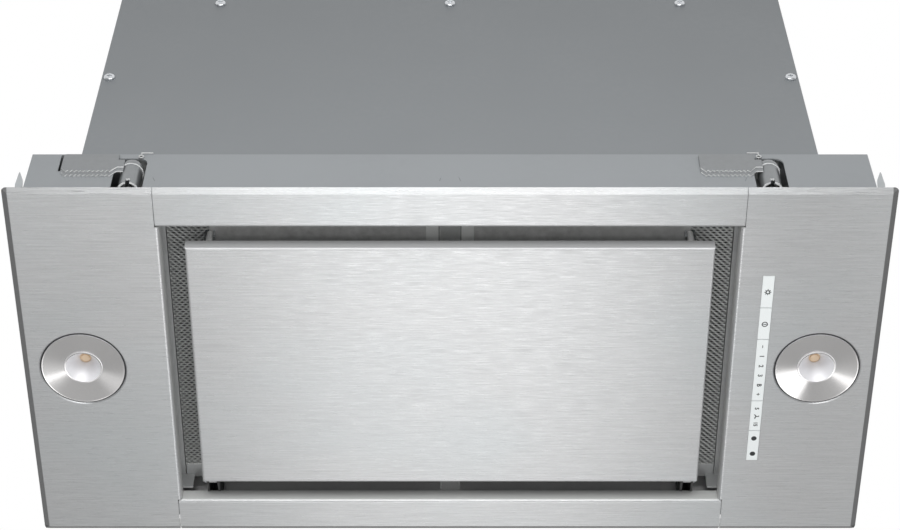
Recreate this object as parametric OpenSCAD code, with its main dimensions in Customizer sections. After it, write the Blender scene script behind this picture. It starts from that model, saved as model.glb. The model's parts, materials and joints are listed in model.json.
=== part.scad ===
// Built-in cooker hood that is pushed up into a cut-out in the base of a wall cabinet.
// Origin: centre of the cut-out, in the plane where the fascia's rim meets the cabinet base.
// +X is to the right as the cook sees it, +Y is towards the wall, +Z is up.

/* [Fascia] */
// Width of the fascia
panel_w = 580; // [576:1:600]
// Depth of the fascia, from its front edge to the wall
panel_d = 288; // [286:1:296]
// Height of the rim, from the face up to the cabinet base
rim_h = 2.5; // [2.2:0.1:3]
// Width of the bevel round the face
bevel_w = 4; // [3:0.5:5]
// Radius of the fascia's corners in plan
corner_r = 3; // [1:0.5:5]
// Sheet thickness of the fascia and of the edge panel
skin_t = 1; // [0.8:0.1:1.1]
// Width of the hem that is folded back along the rim
hem_w = 9; // [6:1:9]
// Width of each side panel
side_w = 97.5; // [96:0.5:99]
// Width of the front rail
front_rail_w = 29.3; // [27:0.1:31]
// Width of the rear rail
rear_rail_w = 28; // [26:0.5:30]
// Open seam between two fascia pieces
seam = 0.5; // [0.3:0.1:0.8]
// How far the side panels reach into the opening past the rails' ends
side_tab = 2.5; // [2.3:0.1:3.5]
// Height of the folded lip round the opening, above the face
lip_h = 10.7; // [9:0.1:12]
// Outer radius of the fold between face and lip
fold_r = 2; // [1.3:0.1:2.2]

/* [Edge panel] */
// Suction gap in front of and behind the edge panel
gap_fr = 16.4; // [15:0.1:18]
// Suction gap on each side of the edge panel
gap_side = 15.7; // [14:0.1:17]
// Height of the edge panel's folded sides
edge_h = 6.7; // [6:0.1:8]
// Radius of the fold round the edge panel's face
edge_r = 1.6; // [1.2:0.1:2]
// How much higher the edge panel's front fold stands
front_rise = 2.6; // [1:0.2:3]
// Distance of each hinge in from the edge panel's end
hinge_in = 6.5; // [5.6:0.1:8]
// Radius of the hinge pins
hinge_pin_r = 2; // [1.5:0.1:2.2]
// Length of the hinge knuckles on the edge panel
knuckle_l = 5.2; // [4:0.1:6]
// Distance of each catch stud in from the edge panel's end
stud_in = 14.8; // [13.5:0.1:24]
// Radius of the catch studs
stud_r = 2.3; // [1.9:0.1:2.4]
// Radius of the ball on each catch stud
stud_ball_r = 2.4; // [2.2:0.1:2.6]

/* [Grease filters] */
// Height of the filters' undersides above the cabinet base
filter_z = 24; // [23:0.5:26]
// Thickness of the filter frames
filter_t = 9; // [8:0.5:10]
// Width of the frame bar beside the middle of the hood
bar_in = 8.7; // [7:0.1:10]
// Width of the frame bar beside the side panel
bar_out = 3; // [2.5:0.1:5]
// Width of the front frame bar
bar_front = 9; // [8:0.1:11]
// Width of the rear frame bar
bar_rear = 6; // [5.5:0.1:8]
// Half of the space between the two filters
filter_mid = 7.5; // [7.2:0.1:9]
// Thickness of each expanded metal sheet
mesh_t = 0.8; // [0.6:0.1:1]
// Diamonds across one filter sheet
mesh_nx = 6; // [4:1:7]
// Diamonds along one filter sheet
mesh_ny = 12; // [8:1:14]
// Radius of the rod that the filters hook on to
rod_r = 2; // [1.5:0.1:2.2]

/* [Lower frame] */
// How far the fascia laps the cabinet base at each end
lap_x = 9.5; // [8.5:0.5:10.5]
// How far the fascia laps the cabinet base at the front and at the rear
lap_y = 14; // [13:0.5:14.5]
// Height of the lower frame above the cabinet base
base_h = 64; // [62:1:70]
// Sheet thickness of the lower frame
base_t = 1.2; // [1:0.1:1.5]
// Sheet thickness of the inner walls, the front ledge and the centre bar
wall_t = 1; // [0.8:0.1:1.2]
// Height of the front ledge above the cabinet base
ledge_z = 21; // [20.5:0.1:21.2]
// Distance of each clamp screw out from the rails' ends
clamp_out = 20; // [18:0.5:21.5]
// Distance of the clamp screws in from the lower frame's outer face
clamp_in = 5.5; // [5.2:0.1:5.8]
// Radius of the clamp screws
clamp_screw_r = 2.5; // [2:0.1:2.8]
// Length of the clamp arms from the screw to the tip
clamp_len = 46; // [42:1:50]
// Height of a clamp arm's outer plate
clamp_plate_h = 20; // [17:1:22]
// How much lower a clamp arm's inner plate reaches
clamp_drop = 4.4; // [2:0.2:5]
// Radius of a clamp arm's sleeve
clamp_sleeve_r = 8; // [6.5:0.1:8.5]
// Teeth along a clamp arm
clamp_teeth = 11; // [6:1:13]
// How far the side springs stand out from the lower frame
spring_out = 6.6; // [4:0.2:7]

/* [Lamps] */
// Distance of each lamp in from the fascia's end
lamp_in = 40.5; // [40.4:0.1:41]
// Radius of the reflector's rim
lamp_r = 28.1; // [27:0.1:28.2]
// Dark gap between the reflector and the fascia
lamp_gap = 1.2; // [0.8:0.1:1.2]
// Width of the chamfer round each lamp hole
lamp_chamfer = 0.7; // [0.3:0.1:0.8]
// Radius of the inner cone at its mouth
cone_r = 12; // [10:0.5:14]
// Height of the light-emitting chip above the face
chip_h = 12.5; // [10:0.5:15]
// Radius of the light-emitting chip
chip_r = 2.75; // [2:0.25:3.5]

/* [Keys] */
// Distance of the key strip's centre line out from the rails' ends
key_out = 18.5; // [17.5:0.5:19.5]
// Width of the key strip
key_w = 7.8; // [7:0.1:9]
// Where the key strip starts, behind the fascia's front edge
key_start = 67.6; // [60:0.1:72]
// Length of one key place; the fan rocker takes two
key_pitch = 26; // [24:0.1:27]
// Gap between two keys
key_gap = 0.6; // [0.4:0.1:0.8]
// How far the keys lie behind the face
key_recess = 0.2; // [0.1:0.05:0.3]
// Travel of a key
key_travel = 1; // [0.6:0.1:1.1]

/* [Housing] */
// How far the blower housing stands back from each end of the lower frame
housing_back = 31.8; // [30:0.1:35]
// How far the blower housing stands back from the lower frame's front and rear
housing_step = 4; // [3:0.5:6]
// Slot under the housing's front cover
cover_gap = 1.4; // [0.4:0.1:1.5]
// Height of the top of the housing above the cabinet base
housing_top = 307.5; // [300:0.5:320]
// Sheet thickness of the housing
housing_t = 1; // [0.8:0.1:1.2]
// Width of the housing's folded edges
fold_w = 14; // [12:1:16]
// Height of the top plate's front flange
top_flange = 26; // [24:1:30]
// Radius of the thread on the housing screws
screw_r = 1.8; // [1.5:0.1:2]
// Length of the housing screws under their heads
screw_l = 8; // [6:1:10]
// Radius of the pan heads on the housing screws
screw_head_r = 4; // [3.5:0.1:4.2]

/* [Duct spigot] */
// Outer radius of the spigot that takes the duct
spigot_r = 74.5; // [72:0.5:75]
// Wall of the spigot
spigot_t = 1.5; // [1.2:0.1:2]
// Height of the spigot above the housing
spigot_h = 60; // [50:1:70]
// Distance of the spigot's centre in from the rear of the housing
spigot_in = 86; // [85:0.5:87]
// Radius of the non-return flaps' pin
flap_pin_r = 1.5; // [1.2:0.1:1.8]
// Thickness of the non-return flaps
flap_t = 1.2; // [1:0.1:1.5]

/* [Blower] */
// Outer radius of the impeller
fan_r = 70; // [66:1:71]
// Width of the impeller
fan_w = 104; // [90:2:106]
// Blades on the impeller
fan_blades = 36; // [24:2:40]
// Radial depth of a blade
blade_depth = 12; // [10:1:14]
// Thickness of a blade
blade_t = 1; // [0.8:0.1:1.4]
// Width of the scroll housing
scroll_w = 116; // [112:1:118]
// Wall of the scroll housing
scroll_t = 1.5; // [1.2:0.1:2]
// Radius of the motor
motor_r = 40; // [36:1:44]
// Length of the motor's bell
motor_l = 52; // [46:1:52]
// Radius of the impeller's hub
hub_r = 9; // [7:0.5:12]
// Radius of the motor shaft
shaft_r = 3; // [2.5:0.25:4]
// Distance of the blower's axis in from the housing's front
fan_in = 101; // [100:1:104]
// Height of the blower's axis above the lower frame
fan_up = 104; // [103:1:110]

/* [Electrical parts] */
// Length and width of the lamp driver's case
driver_l = 60; // [50:1:66]
// Height of the lamp driver's case
driver_h = 24; // [18:1:30]
// Radius of the run capacitor
cap_r = 15; // [12:1:18]
// Height of the run capacitor
cap_h = 56; // [45:1:65]
// Width of the terminal box
box_w = 70; // [60:1:76]
// Depth of the terminal box
box_d = 80; // [70:1:90]
// Height of the terminal box
box_h = 34; // [30:1:40]
// Radius of the bore in the cable gland
gland_bore_r = 4.5; // [3.5:0.25:5.5]

/* [Hidden] */
$fn = 64;

STAINLESS = [0.75, 0.76, 0.77];
GALVANISED = [0.55, 0.57, 0.58];
ALUMINIUM = [0.72, 0.73, 0.74];
PLASTIC_DARK = [0.16, 0.17, 0.18];
PLASTIC_WHITE = [0.94, 0.95, 0.96];

// Running clearance of a pin in its bore
run = 0.05;
// Clearance between parts that move past each other
gap = 0.3;

// Lengths that follow the fascia
rail_len = panel_w - 2 * side_w;
base_w = panel_w - 2 * lap_x;
base_d = panel_d - 2 * lap_y;
housing_x = base_w / 2 - housing_back;
housing_y = base_d / 2 - housing_step;

// Levels and edges of the fascia
face_z = -rim_h;
skin_z = face_z + skin_t;
lip_z = face_z + lip_h;
open_x = rail_len / 2 - side_tab;
open_front = -panel_d / 2 + front_rail_w;
open_rear = panel_d / 2 - rear_rail_w;

// Edge panel outline and hinge axis
edge_x = open_x - gap_side;
edge_front = open_front + gap_fr;
edge_rear = open_rear - gap_fr;
edge_top = face_z + edge_h;
hinge_x = edge_x - hinge_in;
stud_x = edge_x - stud_in;
hinge_y = edge_rear + 3.4;
hinge_z = edge_top + 1.8;
knuckle_r = hinge_pin_r + 0.9;
cheek_t = 1.5;
cheek_r = hinge_pin_r + 1.4;
hinge_out = knuckle_l / 2 + 0.4;

// Filter outline and hooking rod
clip_t = 0.8;
filter_x = open_x - 1.4;
filter_front = open_front + 2.7;
rod_y = open_rear - 4.4;
filter_rear = rod_y - rod_r - 2.1;
filter_top = filter_z + filter_t;
rod_z = filter_z + filter_t / 2;
hook_r = rod_r + 1.7;
mesh_lip = 1;
mesh_tuck = 1.8;

// Catch studs: their distance from the front and the centre of their balls
stud_y = edge_front + 2.6 + stud_ball_r / 2;
stud_ball_z = filter_z - clip_t - 0.5 - stud_ball_r;

// Inner faces of the lower frame
inner_x = base_w / 2 - base_t;
inner_y = base_d / 2 - base_t;
wall_x = rail_len / 2 + seam / 2 + 0.3;
plenum_y = inner_y - 18;
ledge_edge = filter_front - 2.6;
flange_w = 12;

// Clamp mechanism
clamp_x = rail_len / 2 + clamp_out;
clamp_y = base_d / 2 - clamp_in;
clamp_x_min = 10.9;
clamp_x_max = 10.3;
clamp_cut_z = 8;
clamp_cut_top = base_h - base_t - 4.3;
clamp_sleeve_z = 26.5;
clamp_sleeve_top = clamp_cut_top - 1;
clamp_collar_z = 49;
clamp_plate_t = 0.75;
clamp_plate_y = clamp_in + 0.2;
clamp_plate_top = base_h - 2.5;
clamp_plate_end = 4.5;
slit_start = clamp_len + 0.5;
slit_w = 1.7;

// Wires that pull the arms back: their place, thickness and eye, and the slot that each one passes
wire_x = clamp_x - 5.5;
wire_r = 0.5;
wire_eye_r = 1.5;
wire_slot = 1.4;
wire_tail = 7.5;
wire_out = 0.6;

// Lamps
lamp_x = panel_w / 2 - lamp_in;
chip_z = face_z + chip_h;

// Key strip places, counted in key pitches from its front end
strip_y = -panel_d / 2 + key_start;
key_x = rail_len / 2 + key_out;
key_slot_pitches = 6;
key_flange = 1;
key_stem_r = 1.5;
key_face_z = face_z + key_recess;
fan_stem = 20;
stem_places = [0.5, 1.5, 3 - fan_stem / key_pitch, 3 + fan_stem / key_pitch, 4.5, 5.5];
frame_plate_z = 4;
board_z = 8;

// Screws of the front cover and of the spigot
screw_side_z = base_h + 111.3;
screw_cols = [-housing_x + 75.3, 0, housing_x - 75.3];
screw_side = 5.6;
screw_top = 18.8;
spigot_flange = 10;
spigot_y = housing_y - spigot_in;
screw_ring_r = spigot_r + 6;
screw_ring = [30, 150, 210, 330];

// Scroll axis and spiral
scroll_y = -housing_y + fan_in;
scroll_z = base_h + fan_up;
scroll_r0 = fan_r + 4;
scroll_grow = 38;
scroll_turn = 290;
inlet_r = fan_r - blade_depth - 2;
hub_l = 10;
motor_start = 5;
motor_face = scroll_w / 2 + 6;
shaft_end = motor_start + 20;
neck_y0 = scroll_y + scroll_r0 * cos(360 - scroll_turn);
neck_y1 = scroll_y + scroll_r0 + scroll_grow;

// Mains cable gland
gland_x = -housing_x + 48.7;
gland_y = housing_y - 61;
gland_body_r = gland_bore_r + 3.5;

// Flaps
flap_z = housing_top + 6.5;
flap_seat_z = flap_z - flap_t - 0.5;
flap_r = spigot_r - spigot_t - 1.5;
flap_knuckle_r = flap_pin_r + 1.1;

// Points of an arc
function arc(cx, cy, r, a0, a1, n) =
  [for (i = [0:n]) [cx + r * cos(a0 + (a1 - a0) * i / n), cy + r * sin(a0 + (a1 - a0) * i / n)]];

// Outline of a rectangle with round corners
function round_rect(w, d, r) = concat(
  arc(w / 2 - r, d / 2 - r, r, 0, 90, 5),
  arc(-w / 2 + r, d / 2 - r, r, 90, 180, 5),
  arc(-w / 2 + r, -d / 2 + r, r, 180, 270, 5),
  arc(w / 2 - r, -d / 2 + r, r, 270, 360, 5)
);

// Block between two corners
module block(a, b) {
  translate(a)
    cube(b - a);
}

// Extrude a profile drawn in Y and Z along X, from a to b
module along_x(a, b) {
  translate([a, 0, 0])
    rotate([90, 0, 90])
      linear_extrude(b - a)
        children();
}

// Extrude a profile drawn in X and Z along Y, from a to b
module along_y(a, b) {
  translate([0, b, 0])
    rotate([90, 0, 0])
      linear_extrude(b - a)
        children();
}

// Cylinder along X, from a to b
module rod_x(r, a, b) {
  translate([a, 0, 0])
    rotate([0, 90, 0])
      cylinder(r = r, h = b - a);
}

// Cylinder along Y, from a to b
module rod_y(r, a, b) {
  translate([0, a, 0])
    rotate([-90, 0, 0])
      cylinder(r = r, h = b - a);
}

// Draw on both sides of the middle
module both_sides() {
  children();
  mirror([1, 0, 0])
    children();
}

// Draw at the front and at the rear
module front_and_rear() {
  children();
  mirror([0, 1, 0])
    children();
}

// Fascia

// Section of the bevelled blank, half width w, drawn in by t on the inside
function bevel_section(w, t) =
  let (
    dx = t * norm([bevel_w, rim_h]) / rim_h,
    slope = bevel_w / rim_h,
    top = t > 0 ? 1 : 0,
    low = face_z + t
  )
  [[-w + dx - slope * top, top], [-w + dx - slope * low, low], [w - dx + slope * low, low],
   [w - dx + slope * top, top]];

module bevelled_blank(t) {
  intersection() {
    along_x(-panel_w / 2, panel_w / 2)
      polygon(bevel_section(panel_d / 2, t));
    along_y(-panel_d / 2, panel_d / 2)
      polygon(bevel_section(panel_w / 2, t));
    translate([0, 0, face_z - 1])
      linear_extrude(rim_h + 3)
        polygon(round_rect(panel_w, panel_d, corner_r));
  }
}

// Hollow skin of the whole fascia, with its hem folded back along the rim
module fascia_skin() {
  hem_t = 0.8;
  difference() {
    bevelled_blank(0);
    intersection() {
      bevelled_blank(skin_t);
      union() {
        block([-panel_w, -panel_d, face_z], [panel_w, panel_d, -hem_t]);
        block([-panel_w / 2 + hem_w, -panel_d / 2 + hem_w, -hem_t - 1],
              [panel_w / 2 - hem_w, panel_d / 2 - hem_w, 2]);
      }
    }
  }
}

// Fold and lip of one edge at position e, with the sheet behind it on the low side
function lip_section(e, tail) = concat(
  [[e - fold_r - tail, skin_z], [e - fold_r - tail, face_z]],
  arc(e - fold_r, face_z + fold_r, fold_r, -90, 0, 6),
  [[e, lip_z], [e - skin_t, lip_z]],
  arc(e - fold_r, face_z + fold_r, fold_r - skin_t, 0, -90, 6)
);

module rail(width) {
  half = rail_len / 2 - seam / 2;
  edge = panel_d / 2 - width;
  color(STAINLESS)
    union() {
      intersection() {
        fascia_skin();
        block([-half, -panel_d, face_z - 1], [half, -edge - fold_r, 1]);
      }
      along_x(-half, half)
        polygon(lip_section(-edge, 0.5));
    }
}

module front_rail() {
  rail(front_rail_w);
}

module rear_rail() {
  mirror([0, 1, 0])
    rail(rear_rail_w);
}

// Side panel on the right, with its lamp hole
module side_panel() {
  start = rail_len / 2 + seam / 2;
  difference() {
    union() {
      intersection() {
        fascia_skin();
        block([start, -panel_d, face_z - 1], [panel_w, panel_d, 1]);
      }
      mirror([1, 0, 0])
        along_y(open_front + seam, open_rear - seam)
          polygon(lip_section(-open_x, side_tab + seam / 2 - fold_r + 0.5));
    }
    translate([lamp_x, 0, face_z - 1])
      cylinder(r = lamp_r + lamp_gap, h = skin_t + 2);
    translate([lamp_x, 0, face_z - 1])
      cylinder(r1 = lamp_r + lamp_gap + lamp_chamfer + 1, r2 = lamp_r + lamp_gap, h = lamp_chamfer + 1);
  }
}

module left_side_panel() {
  color(STAINLESS)
    mirror([1, 0, 0])
      side_panel();
}

module right_side_panel() {
  color(STAINLESS)
    difference() {
      side_panel();
      block([key_x - key_w / 2 - 0.2, strip_y - 0.2, face_z - 1],
            [key_x + key_w / 2 + 0.2, strip_y + key_slot_pitches * key_pitch + 0.2, skin_z + 1]);
    }
}

// Edge panel

// Pan section: flat bottom, round folds, open top; half width w, drawn in by t
function pan_section(w, t) = concat(
  [[-w + t, edge_top + front_rise + (t > 0 ? 1 : 0)]],
  arc(-w + edge_r, face_z + edge_r, edge_r - t, 180, 270, 5),
  arc(w - edge_r, face_z + edge_r, edge_r - t, 270, 360, 5),
  [[w - t, edge_top + front_rise + (t > 0 ? 1 : 0)]]
);

module pan_blank(t) {
  intersection() {
    translate([0, (edge_front + edge_rear) / 2, 0])
      along_x(-edge_x, edge_x)
        polygon(pan_section((edge_rear - edge_front) / 2, t));
    along_y(edge_front, edge_rear)
      polygon(pan_section(edge_x, t));
  }
}

// Only the front fold keeps its full height
module edge_panel_skin() {
  color(STAINLESS)
    difference() {
      pan_blank(0);
      pan_blank(skin_t);
      block([-panel_w, edge_front + skin_t, edge_top], [panel_w, panel_d, edge_top + front_rise + 1]);
    }
}

// Knuckle of one hinge, with the arm that carries it on the tray
module hinge_knuckle() {
  translate([hinge_x, hinge_y, hinge_z])
    rod_x(knuckle_r, -knuckle_l / 2, knuckle_l / 2);
  block([hinge_x - knuckle_l / 2, edge_rear - 14, edge_top],
        [hinge_x + knuckle_l / 2, hinge_y, edge_top + 1.6]);
}

module edge_panel_tray() {
  rim = 8;
  recess = 1.6;
  side = edge_x - skin_t;
  front = edge_front + skin_t;
  rear = edge_rear - skin_t;
  color(GALVANISED)
    difference() {
      union() {
        difference() {
          block([-side, front, edge_top - skin_t - recess], [side, rear, edge_top]);
          block([-side + rim, front + rim, edge_top - recess], [side - rim, rear - rim - 8, edge_top + 1]);
          block([-side + 1, front + 1, edge_top - skin_t - recess - 1],
                [-side + rim - 1, rear - 1, edge_top - skin_t]);
          block([side - rim + 1, front + 1, edge_top - skin_t - recess - 1],
                [side - 1, rear - 1, edge_top - skin_t]);
        }
        both_sides()
          hinge_knuckle();
      }
      translate([0, hinge_y, hinge_z])
        rod_x(hinge_pin_r + run, -panel_w / 2, panel_w / 2);
    }
}

module catch_stud() {
  translate([stud_x, stud_y, 0]) {
    translate([0, 0, edge_top])
      cylinder(r = stud_r, h = stud_ball_z - edge_top);
    translate([0, 0, edge_top])
      cylinder(r = stud_r + 0.4, h = 1);
    translate([0, 0, stud_ball_z])
      sphere(r = stud_ball_r);
  }
}

module catch_studs() {
  color(ALUMINIUM)
    both_sides()
      catch_stud();
}

// Spring clip round one stud, on a tongue under the filter's front bar
module catch_clip() {
  inside = stud_ball_r + gap;
  low = stud_ball_z - 6;
  shoulder = stud_ball_z + 1;
  under = filter_z - clip_t;
  color(ALUMINIUM)
    union() {
      along_y(stud_y - 2, stud_y + 2)
        polygon([
          [stud_x - inside - clip_t, low], [stud_x - inside - clip_t, shoulder],
          [stud_x - inside + 0.6, filter_z], [stud_x + inside - 0.6, filter_z],
          [stud_x + inside + clip_t, shoulder], [stud_x + inside + clip_t, low],
          [stud_x + inside, low], [stud_x + inside, shoulder],
          [stud_x + inside - 1.1, under], [stud_x - inside + 1.1, under],
          [stud_x - inside, shoulder], [stud_x - inside, low]
        ]);
      block([stud_x - 2, filter_front + 1, under], [stud_x + 2, stud_y, filter_z]);
    }
}

module catch_clip_left() {
  mirror([1, 0, 0])
    catch_clip();
}

module catch_clip_right() {
  catch_clip();
}

// Frame

// Window for one clamp, with its rounded upper corners
module clamp_window() {
  along_y(-base_d / 2 - 1, -inner_y + 1)
    polygon(concat(
      [[-clamp_x_min, clamp_cut_z], [clamp_x_max, clamp_cut_z]],
      arc(clamp_x_max - 6, clamp_cut_top - 6, 6, 0, 90, 6),
      arc(-clamp_x_min + 2, clamp_cut_top - 2, 2, 90, 180, 3)
    ));
}

// Slot in the frame's front, open at the top, from x = a to b and down to z
module frame_slot(a, b, z) {
  block([a, -base_d / 2 - 1, z], [b, -inner_y + gap, base_h + 1]);
}

module base_frame() {
  lamp_relief = lamp_r + 10;
  color(GALVANISED)
    difference() {
      block([-base_w / 2, -base_d / 2, skin_z], [base_w / 2, base_d / 2, base_h]);
      block([-inner_x, -inner_y, skin_z + base_t], [inner_x, inner_y, base_h - base_t]);
      block([-base_w / 2 + flange_w, -base_d / 2 + flange_w, skin_z - 1],
            [base_w / 2 - flange_w, base_d / 2 - flange_w, skin_z + base_t + 1]);
      block([-inner_x, -lamp_relief, skin_z - 1], [inner_x, lamp_relief, skin_z + base_t + 1]);
      block([-wall_x + 3, -plenum_y, base_h - base_t - 1], [wall_x - 3, plenum_y, base_h + 1]);
      front_and_rear() {
        translate([-clamp_x, 0, 0])
          clamp_window();
        translate([clamp_x, 0, 0])
          clamp_window();
        both_sides()
          frame_slot(wire_x - wire_slot / 2, wire_x + wire_slot / 2, clamp_cut_top - 1);
      }
      block([-clamp_x - slit_start - slit_w, -base_d / 2 - 1, clamp_plate_top - clamp_plate_h + 1],
            [-clamp_x - slit_start, -inner_y + gap, base_h - base_t]);
    }
}

// Wall between the filter bay and the lamp compartment, with its foot beside the filter
module inner_wall() {
  foot_rear = open_rear - 2;
  color(GALVANISED)
    union() {
      block([filter_x + 0.6, filter_front - 1, filter_z - wall_t], [wall_x + wall_t, foot_rear, filter_z]);
      block([filter_x - 5.6, foot_rear - wall_t, lip_z + 0.8], [wall_x + wall_t, foot_rear, filter_z]);
      block([wall_x, -inner_y, skin_z + base_t], [wall_x + wall_t, inner_y, base_h - base_t]);
      block([wall_x, -base_d / 2 + flange_w, skin_z], [wall_x + wall_t, base_d / 2 - flange_w, base_h / 2]);
      block([wall_x + wall_t, -plenum_y + 10, base_h - base_t - 1],
            [wall_x + 9, plenum_y - 10, base_h - base_t]);
    }
}

module left_inner_wall() {
  mirror([1, 0, 0])
    inner_wall();
}

module right_inner_wall() {
  inner_wall();
}

// Angle on the front wall that the filter latches lap
module filter_front_ledge() {
  color(GALVANISED)
    along_x(-wall_x, wall_x)
      polygon([
        [-inner_y, ledge_z - wall_t], [ledge_edge, ledge_z - wall_t], [ledge_edge, ledge_z],
        [-inner_y + wall_t, ledge_z], [-inner_y + wall_t, ledge_z + 14], [-inner_y, ledge_z + 14]
      ]);
}

// Channel between the two filters, closed at the top
module centre_bar() {
  half = filter_mid - 0.4;
  low = filter_z + 2;
  high = filter_top + 4;
  color(GALVANISED)
    difference() {
      block([-half, -inner_y + wall_t, low], [half, inner_y, high]);
      block([-half + wall_t, -inner_y, low - 1], [half - wall_t, inner_y + 1, high - wall_t]);
      translate([0, rod_y, rod_z])
        rod_x(rod_r, -half - 1, half + 1);
    }
}

module filter_rod() {
  reach = hinge_x + hinge_out + cheek_t;
  color(PLASTIC_DARK)
    translate([0, rod_y, rod_z])
      rod_x(rod_r, -reach, reach);
}

// One cheek of a hinge bracket: it passes over the rail's lip and comes down to the panel's hinge
module hinge_cheek() {
  drop_y = open_rear - 0.8;
  over_z = lip_z + 0.4;
  difference() {
    union() {
      translate([0, hinge_y, hinge_z])
        rod_x(cheek_r, 0, cheek_t);
      along_x(0, cheek_t)
        polygon([
          [hinge_y, hinge_z - cheek_r + 0.4], [drop_y, over_z - 2], [drop_y, over_z], [inner_y, over_z],
          [inner_y, rod_z + 2], [rod_y + 3, rod_z + 2.6], [rod_y, rod_z + 2.6], [rod_y, rod_z - 2.6],
          [rod_y + 2.4, rod_z - 2.6], [rod_y + 2.4, over_z + 4.2], [hinge_y, hinge_z + cheek_r - 0.4]
        ]);
      translate([0, rod_y, rod_z])
        rod_x(rod_r + 1.3, 0, cheek_t);
    }
    translate([0, hinge_y, hinge_z])
      rod_x(hinge_pin_r, -1, cheek_t + 1);
    translate([0, rod_y, rod_z])
      rod_x(rod_r, -1, cheek_t + 1);
  }
}

module hinge_bracket() {
  union() {
    translate([hinge_x - hinge_out - cheek_t, 0, 0])
      hinge_cheek();
    translate([hinge_x + hinge_out, 0, 0])
      hinge_cheek();
    block([hinge_x - hinge_out - cheek_t, inner_y - cheek_t, lip_z + 0.4],
          [hinge_x + hinge_out + cheek_t, inner_y, rod_z + 2]);
  }
}

module hinge_brackets() {
  color(GALVANISED)
    both_sides()
      hinge_bracket();
}

module hinge_pins() {
  reach = hinge_out + cheek_t;
  color(ALUMINIUM)
    both_sides()
      translate([hinge_x, hinge_y, hinge_z]) {
        rod_x(hinge_pin_r, -reach, reach);
        rod_x(cheek_r - 0.3, reach, reach + 1);
      }
}

// Grease filters

// Hook that the filter hangs by, open at the bottom
module filter_hook(x) {
  hook_l = 10;
  translate([x, rod_y, rod_z])
    difference() {
      union() {
        rod_x(hook_r, 0, hook_l);
        block([0, -hook_r - 3, -1.2], [hook_l, -rod_r, 1.2]);
      }
      rod_x(rod_r + run, -1, hook_l + 1);
      block([-1, -rod_r * 0.6, -hook_r - 1], [hook_l + 1, rod_r * 0.6, 0]);
    }
}

// Frame of the filter on the right
module filter_frame() {
  win_x0 = filter_mid + bar_in;
  win_x1 = filter_x - bar_out;
  win_y0 = filter_front + bar_front;
  win_y1 = filter_rear - bar_rear;
  color(ALUMINIUM)
    union() {
      difference() {
        block([filter_mid, filter_front, filter_z], [filter_x, filter_rear, filter_top]);
        block([win_x0, win_y0, filter_z - 1], [win_x1, win_y1, filter_top + 1]);
        block([win_x0 - mesh_tuck, win_y0 - mesh_tuck, filter_z + mesh_lip],
              [win_x1 + mesh_tuck, win_y1 + mesh_tuck, filter_top - mesh_lip]);
      }
      filter_hook(filter_mid + 26);
      filter_hook(filter_x - 48);
    }
}

module filter_frame_left() {
  mirror([1, 0, 0])
    filter_frame();
}

module filter_frame_right() {
  filter_frame();
}

// Expanded metal sheets of the filter on the right, with staggered diamonds
module filter_mesh() {
  x0 = filter_mid + bar_in - mesh_tuck;
  x1 = filter_x - bar_out + mesh_tuck;
  y0 = filter_front + bar_front - mesh_tuck;
  y1 = filter_rear - bar_rear + mesh_tuck;
  margin = 4;
  px = (x1 - x0 - 2 * margin) / (mesh_nx + 0.5);
  py = (y1 - y0 - 2 * margin) / mesh_ny;
  strand = 0.86;
  color(ALUMINIUM)
    for (z = [filter_z + mesh_lip, filter_top - mesh_lip - mesh_t])
      translate([0, 0, z])
        linear_extrude(mesh_t)
          difference() {
            translate([x0, y0])
              square([x1 - x0, y1 - y0]);
            for (i = [0:mesh_nx - 1], j = [0:mesh_ny - 1])
              translate([x0 + margin + px * (i + 0.5 + (j % 2) / 2), y0 + margin + py * (j + 0.5)])
                polygon([[-px / 2 * strand, 0], [0, -py * strand], [px / 2 * strand, 0], [0, py * strand]]);
          }
}

module filter_mesh_left() {
  mirror([1, 0, 0])
    filter_mesh();
}

module filter_mesh_right() {
  filter_mesh();
}

// Sprung latch under the front bar of the filter on the right
module filter_latch() {
  mid = (filter_mid + filter_x) / 2;
  high = filter_z - 0.2;
  low = ledge_z + 0.6;
  color(ALUMINIUM)
    union() {
      block([mid - 12, filter_front + 0.6, low], [mid + 12, filter_front + bar_front - 1, high]);
      block([mid - 5, ledge_edge + gap, low], [mid + 5, filter_front + 1, high]);
      block([mid - 9, filter_front + bar_front - 2, low - 2], [mid + 9, filter_front + bar_front - 1, low]);
    }
}

module filter_latch_left() {
  mirror([1, 0, 0])
    filter_latch();
}

module filter_latch_right() {
  filter_latch();
}

// Lamps

module lamp_reflector(side) {
  wall = 0.9;
  mouth_z = face_z + 1.2;
  color([0.9, 0.9, 0.9])
    translate([side * lamp_x, 0, 0])
      rotate_extrude()
        polygon([
          [chip_r + 1.2, chip_z], [cone_r, mouth_z], [cone_r + 0.7, mouth_z], [cone_r + 1.2, mouth_z + 0.4],
          [lamp_r - 0.6, face_z], [lamp_r, face_z], [lamp_r, skin_z], [lamp_r - 4.2, skin_z],
          [cone_r + 1.4, mouth_z + 1.4], [chip_r + 2.4, chip_z + wall], [chip_r + 1.2, chip_z + wall]
        ]);
}

module lamp_reflector_left() {
  lamp_reflector(-1);
}

module lamp_reflector_right() {
  lamp_reflector(1);
}

module led_module(side) {
  board_r = 11;
  color([0.95, 0.75, 0.5])
    translate([side * lamp_x, 0, 0])
      union() {
        translate([0, 0, chip_z - 0.3])
          cylinder(r = chip_r, h = 1.3);
        translate([0, 0, chip_z + 0.9])
          cylinder(r = board_r, h = 1.6);
      }
}

module led_module_left() {
  led_module(-1);
}

module led_module_right() {
  led_module(1);
}

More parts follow.
